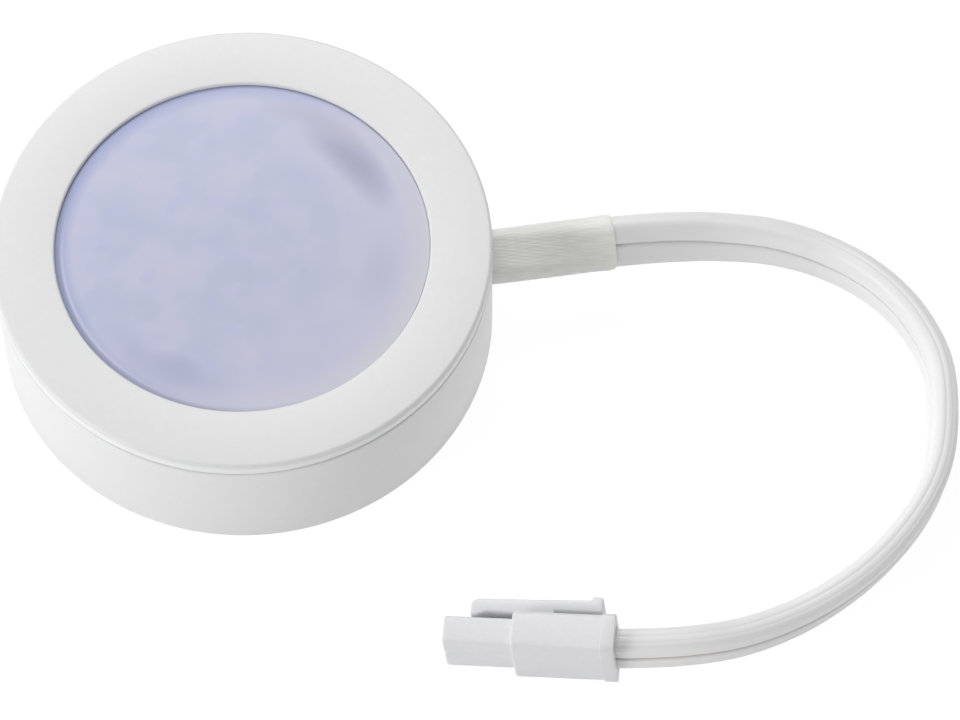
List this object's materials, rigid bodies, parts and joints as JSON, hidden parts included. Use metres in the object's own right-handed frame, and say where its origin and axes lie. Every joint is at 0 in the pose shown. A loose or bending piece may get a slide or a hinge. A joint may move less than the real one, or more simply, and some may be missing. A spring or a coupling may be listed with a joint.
{
  "type": "led puck light",
  "caption": "round LED puck light with a frosted lens in a surface-mount ring, a braided sleeve, a short flat twin lead and a two-way latching plug",
  "frame": {"origin": "centre of the mount ring's back face, on the mounting surface", "axes": "+Z out of the lens, +X towards the side where the lead leaves, +Y to the left of it"},
  "size_m": [0.1357, 0.0935, 0.0213],
  "materials": {
    "white_plastic": "fine satin moulded polycarbonate",
    "cast_aluminium": "die-cast, bead blasted",
    "spring_steel": "rolled stainless spring strip",
    "bright_steel": "zinc plated",
    "silicone_pad": "soft filled silicone",
    "board": "white solder mask on an aluminium core",
    "phosphor": "yellow phosphor resin",
    "black_epoxy": "moulded epoxy",
    "fuse_body": "moulded ceramic-filled resin",
    "blue_epoxy": "dipped epoxy",
    "nylon": "natural white moulded nylon",
    "reflector_white": "high-reflectance white polycarbonate",
    "gasket_foam": "closed-cell silicone foam",
    "frosted_lens": "frosted diffuser, cool white",
    "white_paint": "satin white powder coat on die-cast metal",
    "lead_insulation": "extruded vinyl",
    "glass_braid": "braided glass fibre, varnished",
    "cord_pvc": "extruded flexible vinyl, satin",
    "tinned_brass": "stamped, thinly plated"
  },
  "bodies": {
    "mount_ring": {"mount_ring": "white_plastic"},
    "light_head": {"housing": "cast_aluminium", "spring_clips": "spring_steel", "clip_rivets": "bright_steel", "thermal_pad": "silicone_pad", "led_board": "board", "led_chips": "phosphor", "bridge_rectifier": "black_epoxy", "driver_chips": "black_epoxy", "fuse": "fuse_body", "surge_varistor": "blue_epoxy", "chip_resistors": "black_epoxy", "wire_terminal": "nylon", "board_screws": "bright_steel", "reflector": "reflector_white", "lens_gasket": "gasket_foam", "lens": "frosted_lens", "bezel": "white_paint", "cord_clamp": "nylon", "clamp_screws": "bright_steel", "lead_wires": "lead_insulation", "sleeve": "glass_braid", "cord": "cord_pvc", "plug_housing": "nylon", "plug_contacts": "tinned_brass"}
  },
  "joints": [
    {"name": "head_pull", "type": "slide", "parent": "mount_ring", "child": "light_head", "axis": [0, 0, 1], "range_m": [0, 0.012]}
  ]
}
